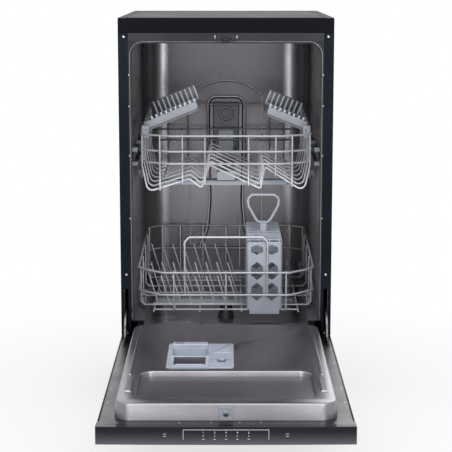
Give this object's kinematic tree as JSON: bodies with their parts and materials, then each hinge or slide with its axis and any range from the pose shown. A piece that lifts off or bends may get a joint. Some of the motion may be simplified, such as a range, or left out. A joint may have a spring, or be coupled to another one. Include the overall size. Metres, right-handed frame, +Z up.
{
  "type": "freestanding dishwasher",
  "caption": "Slim freestanding dishwasher with its drop-down door open, two sliding wire baskets, tilting cup shelves, a cutlery basket and two spray arms.",
  "frame": {"origin": "middle of the outline seen from above, on the floor", "axes": "+Z up, the front and its open door face -Y, +X to the right seen from the front"},
  "size_m": [0.448, 1.2016, 0.85],
  "materials": {
    "worktop_trim": "satin",
    "worktop_top": "satin",
    "dark_paint": "satin",
    "zinc_sheet": "satin",
    "bare_steel": "satin",
    "steel": "brushed",
    "seal": "matte",
    "grey_plastic": "satin",
    "white_plastic": "satin",
    "dark_plastic": "matte",
    "panel_plastic": "satin",
    "button_plastic": "satin",
    "coated_wire": "satin"
  },
  "bodies": {
    "cabinet": {"worktop_frame": "worktop_trim", "worktop_panel": "worktop_top", "right_side_panel": "dark_paint", "left_side_panel": "dark_paint", "back_panel": "zinc_sheet", "front_cross_rail": "zinc_sheet", "tub": "steel", "tub_gasket": "seal", "dock_port": "grey_plastic", "sump": "dark_plastic", "filter_plate": "steel", "water_softener": "white_plastic", "circulation_pump": "dark_plastic", "drain_pump": "dark_plastic", "base_tray": "dark_plastic", "kick_plate": "dark_paint", "feet": "dark_plastic", "inlet_valve": "white_plastic", "rear_ports": "grey_plastic", "hinge_brackets": "zinc_sheet", "balance_springs": "bare_steel", "rail_guides": "grey_plastic"},
    "door": {"hinge_arms": "bare_steel", "door_outer_panel": "dark_paint", "door_inner_panel": "steel", "door_vent": "grey_plastic", "control_panel": "panel_plastic", "door_lock": "dark_plastic", "dispenser_body": "grey_plastic"},
    "fine_filter": {"fine_filter": "grey_plastic"},
    "salt_cap": {"salt_cap": "grey_plastic"},
    "lower_spray_arm": {"lower_spray_arm": "grey_plastic"},
    "power_button": {"power_button": "button_plastic"},
    "start_button": {"start_button": "button_plastic"},
    "program_button": {"program_button": "button_plastic"},
    "dispenser_lid": {"dispenser_lid": "grey_plastic"},
    "dispenser_latch": {"dispenser_latch": "grey_plastic"},
    "rinse_aid_cap": {"rinse_aid_cap": "grey_plastic"},
    "lower_basket": {"lower_basket_front": "coated_wire", "lower_basket_rear": "coated_wire", "lower_basket_sides": "coated_wire", "lower_basket_floor": "coated_wire", "plate_tines": "coated_wire", "lower_wheel_housings": "grey_plastic", "cutlery_basket": "grey_plastic", "cutlery_grid": "grey_plastic"},
    "lower_front_wheels": {"lower_front_wheels": "grey_plastic"},
    "lower_rear_wheels": {"lower_rear_wheels": "grey_plastic"},
    "upper_basket": {"upper_basket_front": "coated_wire", "upper_basket_rear": "coated_wire", "upper_basket_sides": "coated_wire", "upper_basket_floor": "coated_wire", "roller_carriers": "grey_plastic", "upper_feed_pipe": "grey_plastic"},
    "upper_rails": {"upper_rails": "bare_steel"},
    "upper_front_rollers": {"upper_front_rollers": "grey_plastic"},
    "upper_rear_rollers": {"upper_rear_rollers": "grey_plastic"},
    "left_cup_shelf": {"left_cup_shelf": "grey_plastic"},
    "right_cup_shelf": {"right_cup_shelf": "grey_plastic"},
    "upper_spray_arm": {"upper_spray_arm": "grey_plastic"}
  },
  "joints": [
    {"name": "door_hinge", "type": "hinge", "parent": "cabinet", "child": "door", "pos_m": [0, 0.03575, 0.179], "axis": [1, 0, 0], "range_deg": [-90, 0]},
    {"name": "lower_basket_slide", "type": "slide", "parent": "cabinet", "child": "lower_basket", "axis": [0, -1, 0], "range_m": [0, 0.48]},
    {"name": "upper_basket_slide", "type": "slide", "parent": "cabinet", "child": "upper_basket", "axis": [0, -1, 0], "range_m": [0, 0.3]},
    {"name": "upper_rails_slide", "type": "slide", "parent": "cabinet", "child": "upper_rails", "axis": [0, -1, 0], "range_m": [0, 0.15]},
    {"name": "lower_front_wheels_spin", "type": "hinge", "parent": "lower_basket", "child": "lower_front_wheels", "pos_m": [0, 0.17175, 0.2223], "axis": [1, 0, 0], "range_deg": [0, 1966]},
    {"name": "lower_rear_wheels_spin", "type": "hinge", "parent": "lower_basket", "child": "lower_rear_wheels", "pos_m": [0, 0.47575, 0.2223], "axis": [1, 0, 0], "range_deg": [0, 1966]},
    {"name": "upper_front_rollers_spin", "type": "hinge", "parent": "upper_basket", "child": "upper_front_rollers", "pos_m": [0, 0.22575, 0.556], "axis": [1, 0, 0], "range_deg": [0, 956]},
    {"name": "upper_rear_rollers_spin", "type": "hinge", "parent": "upper_basket", "child": "upper_rear_rollers", "pos_m": [0, 0.43575, 0.556], "axis": [1, 0, 0], "range_deg": [0, 956]},
    {"name": "left_shelf_tilt", "type": "hinge", "parent": "upper_basket", "child": "left_cup_shelf", "pos_m": [-0.172, 0.22575, 0.608], "axis": [0, -1, 0], "range_deg": [-22, 35]},
    {"name": "right_shelf_tilt", "type": "hinge", "parent": "upper_basket", "child": "right_cup_shelf", "pos_m": [0.172, 0.22575, 0.608], "axis": [0, 1, 0], "range_deg": [-22, 35]},
    {"name": "upper_arm_spin", "type": "hinge", "parent": "upper_basket", "child": "upper_spray_arm", "pos_m": [0, 0.30375, 0.47], "axis": [0, 0, 1], "continuous": true},
    {"name": "lower_arm_spin", "type": "hinge", "parent": "cabinet", "child": "lower_spray_arm", "pos_m": [0, 0.30375, 0.191], "axis": [0, 0, 1], "continuous": true},
    {"name": "fine_filter_twist", "type": "hinge", "parent": "cabinet", "child": "fine_filter", "pos_m": [0.075, 0.19575, 0.12], "axis": [0, 0, 1], "range_deg": [0, 90]},
    {"name": "salt_cap_twist", "type": "hinge", "parent": "cabinet", "child": "salt_cap", "pos_m": [-0.095, 0.18575, 0.155], "axis": [0, 0, 1], "range_deg": [0, 120]},
    {"name": "dispenser_lid_hinge", "type": "hinge", "parent": "door", "child": "dispenser_lid", "pos_m": [-0.0696, -0.26425, 0.211], "axis": [1, 0, 0], "range_deg": [-180, 0]},
    {"name": "dispenser_latch_slide", "type": "slide", "parent": "door", "child": "dispenser_latch", "axis": [-1, 0, 0], "range_m": [0, 0.006], "stiffness_N_per_m": 120, "springref_m": -0.003},
    {"name": "rinse_aid_cap_twist", "type": "hinge", "parent": "door", "child": "rinse_aid_cap", "pos_m": [-0.009, -0.19625, 0.205], "axis": [0, 0, 1], "range_deg": [0, 90]},
    {"name": "power_button_press", "type": "slide", "parent": "door", "child": "power_button", "axis": [0, 0, 1], "range_m": [0, 0.0016], "stiffness_N_per_m": 250, "springref_m": -0.002},
    {"name": "start_button_press", "type": "slide", "parent": "door", "child": "start_button", "axis": [0, 0, 1], "range_m": [0, 0.0016], "stiffness_N_per_m": 250, "springref_m": -0.002},
    {"name": "program_button_press", "type": "slide", "parent": "door", "child": "program_button", "axis": [0, 0, 1], "range_m": [0, 0.0016], "stiffness_N_per_m": 250, "springref_m": -0.002}
  ],
  "couplings": [
    {"joint": "upper_rails_slide", "follows": "upper_basket_slide", "ratio": 0.5},
    {"joint": "lower_front_wheels_spin", "follows": "lower_basket_slide", "rad_per_m": 71.429},
    {"joint": "lower_rear_wheels_spin", "follows": "lower_basket_slide", "rad_per_m": 71.429},
    {"joint": "upper_front_rollers_spin", "follows": "upper_basket_slide", "rad_per_m": 55.556},
    {"joint": "upper_rear_rollers_spin", "follows": "upper_basket_slide", "rad_per_m": 55.556}
  ]
}
